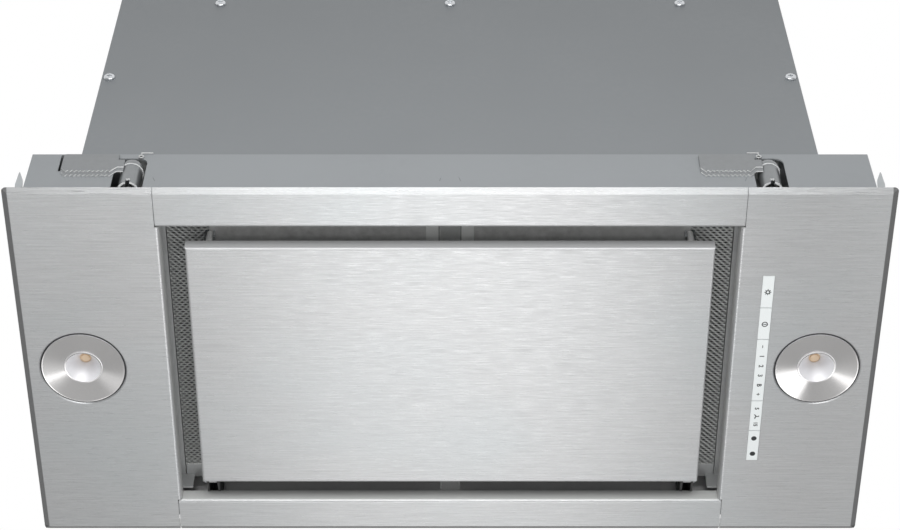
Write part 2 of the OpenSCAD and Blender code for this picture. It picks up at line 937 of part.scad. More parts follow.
// Cup with cooling fins that holds the reflector and the light source
module lamp_housing(side) {
  cup_r = lamp_r - 2.4;
  flange_x = lamp_r + lamp_gap + 0.2;
  flange_y = lamp_r + 7;
  cup_top = chip_z + 2.5;
  fin_h = 12;
  color(PLASTIC_DARK)
    translate([side * lamp_x, 0, 0])
      difference() {
        union() {
          block([-flange_x, -flange_y, skin_z], [flange_x, flange_y, skin_z + 1.2]);
          translate([0, 0, skin_z + 0.6])
            cylinder(r = cup_r, h = cup_top + 2 - skin_z - 0.6);
          for (i = [-3:3])
            block([i * 6 - 1, -sqrt(cup_r * cup_r - 441), cup_top + 1],
                  [i * 6 + 1, sqrt(cup_r * cup_r - 441), cup_top + 2 + fin_h]);
        }
        translate([0, 0, skin_z - 1])
          cylinder(r = cup_r - 1.5, h = cup_top - skin_z + 1);
      }
}

module lamp_housing_left() {
  lamp_housing(-1);
}

module lamp_housing_right() {
  lamp_housing(1);
}

// Keys

// One key from pitch a to pitch b, with its stems
module key(a, b, lift, stems) {
  y0 = strip_y + a * key_pitch + (a > 0 ? key_gap / 2 : 0);
  y1 = strip_y + b * key_pitch - (b < key_slot_pitches ? key_gap / 2 : 0);
  mid = (y0 + y1) / 2;
  flange_z = skin_z + lift;
  color(PLASTIC_WHITE)
    union() {
      block([key_x - key_w / 2, y0, key_face_z], [key_x + key_w / 2, y1, flange_z + 1]);
      block([key_x - key_w / 2 - key_flange, y0, flange_z], [key_x + key_w / 2 + key_flange, y1, flange_z + 1]);
      for (s = stems)
        translate([key_x, mid + s, flange_z])
          cylinder(r = key_stem_r, h = board_z - 1.2 - key_travel - 0.2 - flange_z);
    }
}

module light_key() {
  key(0, 1, 0.1, [0]);
}

module power_key() {
  key(1, 2, 0.1, [0]);
}

// The fan rocker tilts about its middle, so its flange lies higher
module fan_key() {
  key(2, 4, 0.7, [-fan_stem, fan_stem]);
}

module timer_key() {
  key(4, 5, 0.1, [0]);
}

module filter_key() {
  key(5, 6, 0.1, [0]);
}

module key_frame() {
  x0 = key_x - key_w / 2 - key_flange - 2.2;
  x1 = key_x + key_w / 2 + key_flange + 2.2;
  y0 = strip_y - 3;
  y1 = strip_y + key_slot_pitches * key_pitch + 3;
  color(PLASTIC_DARK)
    difference() {
      union() {
        block([x0, y0, skin_z], [x1, y1, frame_plate_z + 1.5]);
        for (x = [x0 + 1.5, x1 - 1.5], y = [y0 + 1.5, (y0 + y1) / 2, y1 - 1.5])
          translate([x, y, frame_plate_z])
            cylinder(r = 1.4, h = board_z - frame_plate_z);
      }
      block([x0 + 1.8, y0 + 2.6, skin_z - 1], [x1 - 1.8, y1 - 2.6, frame_plate_z]);
      for (p = stem_places)
        translate([key_x, strip_y + p * key_pitch, frame_plate_z - 1])
          cylinder(r = key_stem_r + gap, h = 4);
    }
}

module control_board() {
  x0 = key_x - key_w / 2 - key_flange - 2.2;
  x1 = key_x + key_w / 2 + key_flange + 2.2;
  y0 = strip_y - 3;
  y1 = strip_y + key_slot_pitches * key_pitch + 3;
  color([0.1, 0.35, 0.2])
    union() {
      block([x0, y0, board_z], [x1, y1, board_z + 1.6]);
      for (p = stem_places)
        translate([key_x - 3, strip_y + p * key_pitch - 3, board_z - 1])
          cube([6, 6, 1.5]);
      block([key_x - 4, y1 - 30, board_z + 1], [key_x + 4, y1 - 14, board_z + 10]);
      block([key_x - 4, y0 + 20, board_z + 1], [key_x + 4, y0 + 44, board_z + 5]);
    }
}

// Clamps

// Toothed plate of a clamp arm, from z = low up; its right end is hidden by the sleeve
module clamp_plate(y, low) {
  tooth = (clamp_len - 14) / clamp_teeth;
  along_y(-y - clamp_plate_t, -y)
    polygon(concat(
      [[-clamp_plate_end, low + 4], [-9, low + 4], [-12, low]],
      [for (i = [0:clamp_teeth - 1], s = [0.5, 1]) [-12 - tooth * (i + s), low - (s < 1 ? 2.2 : 0)]],
      [[-clamp_len, low + 3]],
      arc(-clamp_len + 1.5, clamp_plate_top - 1.5, 1.5, 180, 90, 3),
      [[-9, clamp_plate_top], [-9, clamp_sleeve_top - 3], [-clamp_plate_end, clamp_sleeve_top - 3]]
    ));
}

// Arm at rest: two plates along the outside of the frame, tips towards the left; swings about the origin's Z
module clamp_arm() {
  low = clamp_plate_top - clamp_plate_h;
  dome = 6;
  skirt_h = 11;
  difference() {
    union() {
      rotate_extrude()
        polygon(concat(
          [[0, clamp_sleeve_z], [clamp_sleeve_r - 0.8, clamp_sleeve_z], [clamp_sleeve_r - 0.8, clamp_collar_z],
           [clamp_sleeve_r, clamp_collar_z]],
          arc(clamp_sleeve_r - dome, clamp_sleeve_top - dome, dome, 0, 90, 6),
          [[0, clamp_sleeve_top]]
        ));
      clamp_plate(clamp_plate_y, low - clamp_drop);
      clamp_plate(clamp_plate_y + clamp_plate_t, low);
    }
    translate([0, 0, clamp_sleeve_z - 1])
      cylinder(r = clamp_screw_r + run, h = base_h);
    translate([0, 0, clamp_sleeve_z - 1])
      cylinder(r = clamp_sleeve_r - 2.2, h = skirt_h + 1);
    block([-1.4, -clamp_sleeve_r - 1, clamp_sleeve_z - 1], [1.4, 0, clamp_sleeve_z + 4]);
  }
}

module clamp_arm_front_left() {
  color(ALUMINIUM)
    translate([-clamp_x, -clamp_y, 0])
      clamp_arm();
}

module clamp_arm_front_right() {
  color(ALUMINIUM)
    translate([clamp_x, -clamp_y, 0])
      clamp_arm();
}

module clamp_arm_rear_left() {
  color(ALUMINIUM)
    mirror([0, 1, 0])
      translate([-clamp_x, -clamp_y, 0])
        clamp_arm();
}

module clamp_arm_rear_right() {
  color(ALUMINIUM)
    mirror([0, 1, 0])
      translate([clamp_x, -clamp_y, 0])
        clamp_arm();
}

// Draw at all four clamp screws
module at_clamps() {
  front_and_rear()
    both_sides()
      translate([clamp_x, -clamp_y, 0])
        children();
}

module clamp_screws() {
  head_z = 10;
  color(ALUMINIUM)
    at_clamps()
      union() {
        translate([0, 0, head_z])
          cylinder(r = clamp_screw_r, h = base_h - base_t - head_z);
        difference() {
          translate([0, 0, head_z - 3])
            cylinder(r = clamp_screw_r + 1.8, h = 3);
          translate([0, 0, head_z - 4])
            cylinder(r = 1.6, h = 3, $fn = 6);
        }
      }
}

// Wire on a clamp bracket: through its slot, round an eye, up the frame's front and along its top edge
module clamp_wire() {
  x = wire_x - clamp_x;
  out = -clamp_in - wire_out;
  root_z = base_h - base_t - 0.8;
  tail_z = base_h + wire_r + 0.1;
  translate([x, 0, root_z])
    rod_y(wire_r, out, -clamp_in + base_t + 1);
  translate([x, out, root_z - wire_eye_r - wire_r])
    rotate([90, 0, 0])
      rotate_extrude()
        translate([wire_eye_r, 0])
          circle(r = wire_r, $fn = 16);
  translate([x, out, root_z])
    cylinder(r = wire_r, h = tail_z - root_z);
  translate([0, out, tail_z])
    rod_x(wire_r, x - wire_tail, x + wire_r);
}

// Bracket that carries a clamp screw, fixed under the frame's top
module clamp_brackets() {
  half = 8.5;
  back = 9.6;
  sheet = 1.5;
  low = 12;
  top = base_h - base_t;
  front = clamp_in - base_t;
  color(GALVANISED)
    at_clamps()
      union() {
        difference() {
          union() {
            block([-half, -front, low], [half, back, low + sheet]);
            block([-half, back - sheet, low], [half, back, top]);
            block([-half, -front, top - sheet], [half, back, top]);
          }
          translate([0, 0, low - 1])
            cylinder(r = clamp_screw_r, h = base_h);
        }
        clamp_wire();
      }
}

// Barb that centres the frame in the cut-out: a tab on the frame's side with a pointed fin at its front
module side_spring() {
  leaf = 1;
  width = 14;
  tip_z = 45;
  belly_z = 29;
  x = base_w / 2;
  y = -base_d / 2 + 2;
  union() {
    block([x, y, 6], [x + leaf, y + width, 22]);
    along_y(y, y + leaf)
      polygon([
        [x, 6], [x + spring_out - 2, 14], [x + spring_out, belly_z], [x + spring_out - 0.3, tip_z - 2],
        [x + spring_out - 0.8, tip_z], [x + spring_out - 1.5, tip_z - 2], [x + 2.4, belly_z + 6],
        [x + 1.3, belly_z - 2], [x, 22]
      ]);
  }
}

module side_springs() {
  color(ALUMINIUM)
    front_and_rear()
      both_sides()
        side_spring();
}

// Driver for the lamps, hung by its two ears under the frame's top on the left
module led_driver() {
  top = base_h - base_t;
  ear = 7;
  ear_t = 3;
  x = -inner_x + 11.3;
  y = inner_y - 83.8;
  color(PLASTIC_DARK)
    difference() {
      union() {
        block([x, y, top - driver_h], [x + driver_l, y + driver_l, top]);
        block([x, y - ear, top - ear_t], [x + driver_l, y + driver_l + ear, top]);
      }
      for (hole_y = [y - ear / 2, y + driver_l + ear / 2])
        translate([x + driver_l / 2, hole_y, top - ear_t - 1])
          cylinder(r = screw_r, h = ear_t + 2);
    }
}

// Housing

module housing_shell() {
  x = housing_x;
  y = housing_y - housing_t;
  t = housing_t;
  color(GALVANISED)
    difference() {
      block([-x, -y, base_h], [x, y + t, housing_top - t]);
      block([-x + t, -y + t, base_h + t], [x - t, y, housing_top]);
      block([-x + fold_w, -y - 1, base_h - 1], [x - fold_w, y + t - fold_w, base_h + t + 1]);
      block([-x + fold_w, -y - 1, base_h + t], [x - fold_w, -y + t + 1, housing_top]);
      both_sides()
        translate([housing_x - screw_side, 0, screw_side_z])
          rod_y(screw_r, -y - 1, -y + t + 1);
    }
}

module front_cover() {
  y = -housing_y;
  color(GALVANISED)
    difference() {
      block([-housing_x, y, base_h + cover_gap], [housing_x, y + housing_t, housing_top]);
      for (x = screw_cols)
        translate([x, 0, housing_top - screw_top])
          rod_y(screw_r, y - 1, y + housing_t + 1);
      both_sides()
        translate([housing_x - screw_side, 0, screw_side_z])
          rod_y(screw_r, y - 1, y + housing_t + 1);
    }
}

// Pan-head screw seen from the front, head outside the face at y
module pan_screw() {
  difference() {
    union() {
      rod_y(screw_r, 0, screw_l);
      rotate([90, 0, 0])
        rotate_extrude()
          polygon(concat([[0, 0], [screw_head_r, 0]], arc(screw_head_r - 1.5, 0.8, 1.5, 0, 90, 4), [[0, 2.3]]));
    }
    block([-0.45, -3, -1.8], [0.45, -1.3, 1.8]);
    block([-1.8, -3, -0.45], [1.8, -1.3, 0.45]);
  }
}

module cover_screws() {
  color(ALUMINIUM) {
    for (x = screw_cols)
      translate([x, -housing_y, housing_top - screw_top])
        pan_screw();
    both_sides()
      translate([housing_x - screw_side, -housing_y, screw_side_z])
        pan_screw();
    for (a = screw_ring)
      translate([screw_ring_r * cos(a), spigot_y + screw_ring_r * sin(a), housing_top + spigot_t])
        rotate([-90, 0, 0])
          pan_screw();
  }
}

module top_plate() {
  x = housing_x;
  y = housing_y - housing_t;
  t = housing_t;
  color(GALVANISED)
    difference() {
      union() {
        block([-x, -y, housing_top - t], [x, y + t, housing_top]);
        block([-x + fold_w, -y, housing_top - top_flange], [x - fold_w, -y + t, housing_top - t]);
        block([-x + t, y - t, housing_top - top_flange + 6], [x - t, y, housing_top - t]);
      }
      block([-scroll_w / 2 + scroll_t, neck_y0 + scroll_t, housing_top - t - 1],
            [scroll_w / 2 - scroll_t, neck_y1 - scroll_t, housing_top + 1]);
      translate([gland_x, gland_y, housing_top - t - 1])
        cylinder(r = gland_body_r, h = t + 2);
      for (a = screw_ring)
        translate([screw_ring_r * cos(a), spigot_y + screw_ring_r * sin(a), housing_top - t - 1])
          cylinder(r = screw_r, h = t + 2);
      for (c = screw_cols)
        translate([c, 0, housing_top - screw_top])
          rod_y(screw_r, -y - 1, -y + t + 1);
    }
}

// Spigot

module duct_spigot() {
  inside = spigot_r - spigot_t;
  color(PLASTIC_DARK)
    translate([0, spigot_y, housing_top])
      difference() {
        union() {
          cylinder(r = spigot_r, h = spigot_h);
          cylinder(r = spigot_r + spigot_flange, h = spigot_t);
          translate([0, 0, 12])
            cylinder(r = spigot_r + 1.2, h = 3);
        }
        translate([0, 0, flap_seat_z - housing_top])
          cylinder(r = inside, h = spigot_h);
        translate([0, 0, -1])
          cylinder(r = inside - 3, h = 7);
        translate([0, 0, flap_z - housing_top])
          rod_y(flap_pin_r, -spigot_r - 5, spigot_r + 5);
        for (a = screw_ring)
          rotate(a)
            translate([screw_ring_r, 0, -1])
              cylinder(r = screw_r, h = spigot_t + 2);
      }
}

module flap_pin() {
  color(ALUMINIUM)
    translate([0, spigot_y, flap_z])
      rod_y(flap_pin_r, -spigot_r, spigot_r);
}

// Half-round flap on the right, with knuckles at the places given
module flap(places) {
  knuckle = 14;
  edge = flap_knuckle_r + 0.7;
  low = -flap_t;
  translate([0, spigot_y, flap_z])
    difference() {
      union() {
        difference() {
          translate([0, 0, low])
            cylinder(r = flap_r, h = flap_t);
          block([-spigot_r, -spigot_r, low - 1], [edge, spigot_r, 1]);
        }
        for (y = places) {
          translate([0, y, 0])
            rod_y(flap_knuckle_r, 0, knuckle);
          block([0, y, low], [edge + 4, y + knuckle, 0]);
        }
      }
      rod_y(flap_pin_r + run, -spigot_r, spigot_r);
    }
}

module flap_right() {
  color(PLASTIC_DARK)
    flap([-62, -30, 2, 34]);
}

module flap_left() {
  color(PLASTIC_DARK)
    mirror([1, 0, 0])
      flap([-46, -14, 18, 50]);
}

// Blower

// Outline of the scroll: a spiral that opens into a straight neck, drawn in by t
function scroll_outline(t, top) = concat(
  [for (a = [-scroll_turn:5:0])
    let (r = scroll_r0 + scroll_grow * (a + scroll_turn) / scroll_turn - t)
    [scroll_y + r * cos(a), scroll_z + r * sin(a)]],
  [[neck_y1 - t, top], [neck_y0 + t, top]]
);

module scroll_housing() {
  half = scroll_w / 2;
  top = housing_top - housing_t;
  color(PLASTIC_DARK)
    difference() {
      along_x(-half, half)
        polygon(scroll_outline(0, top));
      along_x(-half + scroll_t, half - scroll_t)
        polygon(scroll_outline(scroll_t, top + 1));
      translate([0, scroll_y, scroll_z])
        rod_x(inlet_r, -half - 1, half + 1);
    }
}

// Forward-curved blade: outline in the plane of the wheel, from the inner to the outer radius
function blade_outline(k) =
  let (
    r0 = fan_r - blade_depth,
    n = 5,
    mid = [for (i = [0:n])
      let (r = r0 + (blade_depth - 1) * i / n, a = k * 360 / fan_blades + 9 * pow(i / n, 2))
      [r * cos(a), r * sin(a)]],
    side = [for (i = [0:n])
      let (p = mid[max(i - 1, 0)], q = mid[min(i + 1, n)], d = (q - p) / norm(q - p))
      [-d[1], d[0]] * blade_t / 2]
  )
  concat([for (i = [0:n]) mid[i] + side[i]], [for (i = [n:-1:0]) mid[i] - side[i]]);

module impeller() {
  half = fan_w / 2;
  disc_t = 1.5;
  rim_t = 2;
  shroud = 5;
  r0 = fan_r - blade_depth;
  color(PLASTIC_DARK)
    translate([0, scroll_y, scroll_z])
      difference() {
        union() {
          along_x(-half, half)
            for (k = [0:fan_blades - 1])
              polygon(blade_outline(k));
          for (x = [-half, half - rim_t])
            difference() {
              rod_x(fan_r, x, x + rim_t);
              rod_x(r0 + shroud - 1, x - 1, x + rim_t + 1);
            }
          rod_x(r0 + shroud, -disc_t / 2, disc_t / 2);
          rod_x(hub_r, -hub_l, disc_t / 2);
        }
        rod_x(shaft_r, -hub_l - 1, 2);
      }
}

module motor() {
  color(GALVANISED)
    translate([0, scroll_y, scroll_z])
      difference() {
        union() {
          rod_x(motor_r, motor_start, motor_start + motor_l);
          rod_x(motor_r - 14, motor_start + motor_l - 1, motor_face);
        }
        rod_x(shaft_r + run, motor_start - 1, shaft_end + 1);
      }
}

module motor_shaft() {
  color(ALUMINIUM)
    translate([0, scroll_y, scroll_z])
      rod_x(shaft_r, -hub_l - 2, shaft_end);
}

// Three-armed bracket between the motor and the scroll's inlet rim
module motor_bracket() {
  arm = 6;
  sheet = 2;
  color(GALVANISED)
    translate([0, scroll_y, scroll_z])
      union() {
        rod_x(motor_r - 12, motor_face, motor_face + sheet);
        for (a = [90, 210, 330])
          rotate([a, 0, 0]) {
            block([motor_face, 10, -arm], [motor_face + sheet, inlet_r + 12, arm]);
            block([scroll_w / 2, inlet_r + 3, -arm], [motor_face + sheet, inlet_r + 12, arm]);
          }
      }
}

module capacitor() {
  tab = 6;
  color(PLASTIC_WHITE)
    translate([housing_x - 33.7, housing_y - 46, base_h])
      union() {
        cylinder(r = cap_r, h = cap_h);
        for (x = [-5, 5])
          translate([x - 0.5, -tab / 2, cap_h - 1])
            cube([1, tab, tab + 3]);
      }
}

// Box for the mains terminals, hung under the top plate
module terminal_box() {
  top = housing_top - housing_t;
  wall = 2;
  x = box_w / 2;
  y = box_d / 2;
  color(PLASTIC_WHITE)
    translate([gland_x, gland_y, 0])
      difference() {
        block([-x, -y, top - box_h], [x, y, top]);
        block([-x + wall, -y + wall, top - box_h + wall], [x - wall, y - wall, top - wall]);
        translate([0, 0, top - wall - 1])
          cylinder(r = gland_body_r, h = wall + 2);
      }
}

// Gland where the mains cable comes in
module cable_gland() {
  low = housing_top - 10;
  color(PLASTIC_DARK)
    translate([gland_x, gland_y, 0])
      difference() {
        union() {
          translate([0, 0, low])
            cylinder(r = gland_body_r, h = housing_top + 14 - low);
          translate([0, 0, housing_top])
            cylinder(r = gland_body_r + 4, h = 5, $fn = 6);
          translate([0, 0, housing_top + 5])
            cylinder(r = gland_body_r + 2, h = 9);
          translate([0, 0, housing_top + 14])
            cylinder(r1 = gland_body_r + 2, r2 = gland_bore_r + 2, h = 5);
        }
        translate([0, 0, low - 1])
          cylinder(r = gland_bore_r, h = 40);
      }
}

front_rail();
rear_rail();
left_side_panel();
right_side_panel();
base_frame();
left_inner_wall();
right_inner_wall();
filter_front_ledge();
centre_bar();
filter_rod();
hinge_brackets();
hinge_pins();
edge_panel_skin();
edge_panel_tray();
catch_studs();
filter_frame_left();
filter_frame_right();
filter_mesh_left();
filter_mesh_right();
filter_latch_left();
filter_latch_right();
catch_clip_left();
catch_clip_right();
lamp_reflector_left();
lamp_reflector_right();
led_module_left();
led_module_right();
lamp_housing_left();
lamp_housing_right();
light_key();
power_key();
fan_key();
timer_key();
filter_key();
key_frame();
control_board();
clamp_arm_front_left();
clamp_arm_front_right();
clamp_arm_rear_left();
clamp_arm_rear_right();
clamp_screws();
clamp_brackets();
side_springs();
led_driver();
housing_shell();
front_cover();
top_plate();
cover_screws();
scroll_housing();
impeller();
motor();
motor_shaft();
motor_bracket();
capacitor();
terminal_box();
cable_gland();
duct_spigot();
flap_left();
flap_right();
flap_pin();
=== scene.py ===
"""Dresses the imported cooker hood: finishes, filter mesh, key signs, stage, lights and camera."""
import json
import math

import bmesh
import bpy
from mathutils import Matrix, Vector


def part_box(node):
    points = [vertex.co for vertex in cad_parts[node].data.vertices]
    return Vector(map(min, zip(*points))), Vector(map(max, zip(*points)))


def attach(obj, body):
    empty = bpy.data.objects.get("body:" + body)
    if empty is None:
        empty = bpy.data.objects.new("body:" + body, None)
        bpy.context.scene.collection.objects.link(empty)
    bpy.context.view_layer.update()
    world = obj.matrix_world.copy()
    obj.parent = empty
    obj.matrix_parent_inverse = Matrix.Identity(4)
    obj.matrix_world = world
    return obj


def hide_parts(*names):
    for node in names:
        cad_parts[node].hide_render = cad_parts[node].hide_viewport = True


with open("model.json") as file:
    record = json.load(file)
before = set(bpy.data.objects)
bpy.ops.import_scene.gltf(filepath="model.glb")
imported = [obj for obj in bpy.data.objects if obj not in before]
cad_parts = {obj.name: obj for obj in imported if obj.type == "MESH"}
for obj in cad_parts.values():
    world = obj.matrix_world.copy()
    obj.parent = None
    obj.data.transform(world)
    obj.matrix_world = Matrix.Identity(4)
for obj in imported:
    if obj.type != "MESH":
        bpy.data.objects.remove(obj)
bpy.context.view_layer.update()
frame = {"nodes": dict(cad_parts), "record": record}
nodes = frame["nodes"]
MM = 0.001

# Camera, floor, world and lights, in metres and watts. The camera looks up at the hood from below
# its front edge; its place, pitch and lens come from the photograph's right angles.

EYE = Vector((0, -0.9183, -1.2358))
PITCH = math.radians(55.96)
LENS = 90.36
SENSOR_WIDTH = 36
NEAREST = 0.01
FLOOR_Z = -3.45
FLOOR_SIZE = 60
AMBIENT = 0.46

# Name, place, point aimed at, width, depth and power
SOFTBOXES = (
    # What the flat underside mirrors
    ("under_light", (0, 0.80, -1.45), (0, 0, 0), 0.62, 0.8, 0.79),
    ("centre_light", (0, 0.78, -1.38), (0, 0, 0), 0.38, 0.95, 0.51),
    ("rail_light", (-0.22, 0.60, -1.45), (0, 0, 0), 1.3, 0.3, 1.2),
    # Patches on the floor, which the side panels mirror
    ("left_floor_light", (-0.95, 1.4, -2.2), (-0.95, 1.4, FLOOR_Z), 1.0, 0.8, 3.0),
    ("right_floor_light", (1.0, 2.9, -2.2), (1.0, 2.9, FLOOR_Z), 1.0, 0.8, 5.0),
    # The front bevel, and the upright fronts of the housing and the frame
    ("bevel_light", (0, -0.85, -1.45), (0, 0, 0), 0.7, 0.5, 2.16),
    ("front_light", (0, -0.75, -0.30), (0, -0.13, 0.05), 0.9, 0.25, 3.5),
    ("foot_light", (0, -0.55, -0.10), (0, -0.13, 0.08), 0.9, 0.1, 0.6),
    # The lamps' dishes, then the left side and the top
    ("lamp_light", (1.75, 0.78, -2.15), (0, 0, 0), 1.6, 1.6, 12.0),
    ("left_light", (-1.9, 1.2, -2.3), (0, 0, 0), 1.2, 1.2, 1.8),
    ("top_light", (0, 0.6, 2.4), (0, 0, 0.1), 2.0, 2.0, 12),
)


def link_object(name, data):
    made = bpy.data.objects.new(name, data)
    bpy.context.scene.collection.objects.link(made)
    return made


def add_camera():
    data = bpy.data.cameras.new("camera")
    data.lens = LENS
    data.sensor_width = SENSOR_WIDTH
    data.clip_start = NEAREST
    camera = link_object("camera", data)
    ahead = Vector((0, math.cos(PITCH), math.sin(PITCH)))
    upward = Vector((0, -math.sin(PITCH), math.cos(PITCH)))
    across = ahead.cross(upward)
    turn = Matrix((across, upward, -ahead)).transposed().to_4x4()
    camera.matrix_world = Matrix.Translation(EYE) @ turn
    bpy.context.scene.camera = camera


def add_softbox(name, place, aim, width, depth, power):
    data = bpy.data.lights.new(name, "AREA")
    data.shape = "RECTANGLE"
    data.size = width
    data.size_y = depth
    data.energy = power
    lamp = link_object(name, data)
    lamp.location = place
    lamp.rotation_mode = "QUATERNION"
    lamp.rotation_quaternion = (Vector(aim) - Vector(place)).to_track_quat("-Z", "Y")
    lamp.visible_camera = False


def light_path_sum(tree, *rays):
    """One where any of these kinds of ray looks, and zero for the rest."""
    path = tree.nodes.new("ShaderNodeLightPath")
    total = path.outputs[rays[0]]
    for ray in rays[1:]:
        larger = tree.nodes.new("ShaderNodeMath")
        larger.operation = "MAXIMUM"
        tree.links.new(total, larger.inputs[0])
        tree.links.new(path.outputs[ray], larger.inputs[1])
        total = larger.outputs[0]
    return total


def white_background(tree, strength):
    node = tree.nodes.new("ShaderNodeBackground")
    node.inputs["Color"].default_value = (1, 1, 1, 1)
    node.inputs["Strength"].default_value = strength
    return node.outputs[0]


def add_studio_world():
    """White where it is looked at or mirrored, and dimmer as a light on matt faces."""
    world = bpy.data.worlds.new("studio")
    bpy.context.scene.world = world
    world.use_nodes = True
    tree = world.node_tree
    tree.nodes.clear()
    mix = tree.nodes.new("ShaderNodeMixShader")
    out = tree.nodes.new("ShaderNodeOutputWorld")
    looking = light_path_sum(tree, "Is Camera Ray", "Is Glossy Ray", "Is Transmission Ray")
    tree.links.new(looking, mix.inputs[0])
    tree.links.new(white_background(tree, AMBIENT), mix.inputs[1])
    tree.links.new(white_background(tree, 1), mix.inputs[2])
    tree.links.new(mix.outputs[0], out.inputs["Surface"])


def add_floor():
    bm = bmesh.new()
    bmesh.ops.create_grid(bm, x_segments=1, y_segments=1, size=FLOOR_SIZE)
    bmesh.ops.translate(bm, verts=bm.verts, vec=(0, 0, FLOOR_Z))
    mesh = bpy.data.meshes.new("floor")
    bm.to_mesh(mesh)
    bm.free()
    mesh.materials.append(finishes["pale_floor"])
    floor = link_object("floor", mesh)


# Finishes


class Finish:
    """A material with one shader, and the patterns that feed it.

    A pattern is an output socket. Where a value or colour may stand, so may a pattern."""

    def __init__(self, name, colour, metallic=0.0, roughness=0.5, **settings):
        self.name = name
        self.material = bpy.data.materials.new(name)
        self.material.use_nodes = True
        self.tree = self.material.node_tree
        self.tree.nodes.clear()
        out = self.add("ShaderNodeOutputMaterial")
        self.shader = self.add("ShaderNodeBsdfPrincipled")
        self.link(self.shader.outputs[0], out.inputs["Surface"])
        self.shader.inputs["Base Color"].default_value = (*colour, 1)
        self.shader.inputs["Metallic"].default_value = metallic
        self.shader.inputs["Roughness"].default_value = roughness
        for key, value in settings.items():
            self.shader.inputs[key].default_value = value
        coordinates = self.add("ShaderNodeTexCoord")
        self.place = coordinates.outputs["Object"]
        self.normal = coordinates.outputs["Normal"]

    def add(self, kind, **settings):
        node = self.tree.nodes.new(kind)
        for key, value in settings.items():
            setattr(node, key, value)
        return node

    def link(self, source, target):
        self.tree.links.new(source, target)

    def feed(self, socket, value):
        """Gives a socket a value or a colour, or links a pattern to it."""
        if isinstance(value, bpy.types.NodeSocket):
            self.link(value, socket)
        elif isinstance(value, tuple):
            socket.default_value = (*value, 1)
        else:
            socket.default_value = value

    def colour_from(self, source):
        self.feed(self.shader.inputs["Base Color"], source)

    def metallic_from(self, source):
        self.feed(self.shader.inputs["Metallic"], source)

    def roughness_from(self, source):
        self.feed(self.shader.inputs["Roughness"], source)

    def math(self, operation, a, b=0.0):
        node = self.add("ShaderNodeMath", operation=operation)
        self.feed(node.inputs[0], a)
        self.feed(node.inputs[1], b)
        return node.outputs[0]

    def mix(self, data_type, factor, low, high):
        node = self.add("ShaderNodeMix", data_type=data_type)
        self.link(factor, node.inputs["Factor"])
        self.feed(node.inputs["A"], low)
        self.feed(node.inputs["B"], high)
        return node.outputs["Result"]

    def blend(self, factor, low, high):
        """Mixes two values."""
        return self.mix("FLOAT", factor, low, high)

    def tint(self, factor, low, high):
        """Mixes two colours."""
        return self.mix("RGBA", factor, low, high)

    def noise(self, scale, detail=2.0, roughness=0.5, offset=(0, 0, 0)):
        """Noise with its own scale per metre along each axis."""
        mapping = self.add("ShaderNodeMapping")
        mapping.inputs["Scale"].default_value = scale
        mapping.inputs["Location"].default_value = offset
        self.link(self.place, mapping.inputs["Vector"])
        noise = self.add("ShaderNodeTexNoise")
        noise.inputs["Scale"].default_value = 1
        noise.inputs["Detail"].default_value = detail
        noise.inputs["Roughness"].default_value = roughness
        self.link(mapping.outputs[0], noise.inputs["Vector"])
        return noise.outputs["Fac"]

    def spread(self, factor, low, high, start=0.3, end=0.7):
        """Runs from low to high while the pattern runs from start to end."""
        node = self.add("ShaderNodeMapRange")
        ends = (("From Min", start), ("From Max", end), ("To Min", low), ("To Max", high))
        for key, value in ends:
            node.inputs[key].default_value = value
        self.link(factor, node.inputs["Value"])
        return node.outputs["Result"]

    def axis(self, vector, name):
        """One part of a vector pattern."""
        parts = self.add("ShaderNodeSeparateXYZ")
        self.link(vector, parts.inputs[0])
        return parts.outputs[name]

    def distance_aside(self):
        """Distance from the hood's middle, to the left or right."""
        return self.math("ABSOLUTE", self.axis(self.place, "X"))

    def folds(self, start=0.75, end=0.35):
        """One on the faces that stand upright in the part, and zero on those that lie flat."""
        return self.spread(self.math("ABSOLUTE", self.axis(self.normal, "Z")), 0, 1, start, end)

    def undersides(self):
        """One on the faces that look straight down."""
        return self.spread(self.axis(self.normal, "Z"), 1, 0, start=-0.6, end=-0.3)

    def inner_faces(self, depth):
        """One on the faces that look to the front, behind this depth."""
        to_front = self.spread(self.axis(self.normal, "Y"), 1, 0, start=-0.9, end=-0.5)
        behind = self.spread(self.axis(self.place, "Y"), 0, 1, start=depth, end=depth + 0.002)
        return self.math("MULTIPLY", to_front, behind)

    def bump(self, height, depth, strength=1.0):
        node = self.add("ShaderNodeBump")
        node.inputs["Strength"].default_value = strength
        node.inputs["Distance"].default_value = depth
        self.link(height, node.inputs["Height"])
        self.link(node.outputs[0], self.shader.inputs["Normal"])

    def grain_along_x(self):
        """Points the brushing along X, on whatever face it lies."""
        geometry = self.add("ShaderNodeNewGeometry")
        across = self.add("ShaderNodeVectorMath", operation="CROSS_PRODUCT")
        self.link(geometry.outputs["Normal"], across.inputs[0])
        across.inputs[1].default_value = (1, 0.03, 0.02)
        self.link(across.outputs[0], self.shader.inputs["Tangent"])


# Colours of the fascia's steel and of its folds; the edge panel's darker fold colour is painted
# shade
STEEL = (0.60, 0.605, 0.61)
SIDE_FOLD = (0.55, 0.555, 0.55)
RAIL_FOLD = (0.62, 0.63, 0.62)
# Painted shade: the edge panel's folds, its upright front face among them, are painted darker
EDGE_FOLD_SHADE = (0.42, 0.425, 0.43)
# The fascia's half width and half depth, and the width of its bevels
PANEL_END = 0.290
PANEL_REAR = 0.144
BEVEL = 0.004
# The bevels at the ends and the rear are painted darker, a painted shade: how much of their colour
# they keep, and how soft the change is
PAINTED_END_SHADE = 0.42
PAINTED_REAR_SHADE = 0.26
BEVEL_BLUR = 0.0004
# The depth behind which the frame's rear wall stands, where it is painted pale as painted light
REAR_WALL = 0.1
# Colour of the lamps' inner cones
CONE = (0.88, 0.88, 0.90)
# Rise of a dish per metre from its axis, beyond what its mesh has
DISH_SLOPE = 0.25


def scaled(colour, share):
    return tuple(c * share for c in colour)


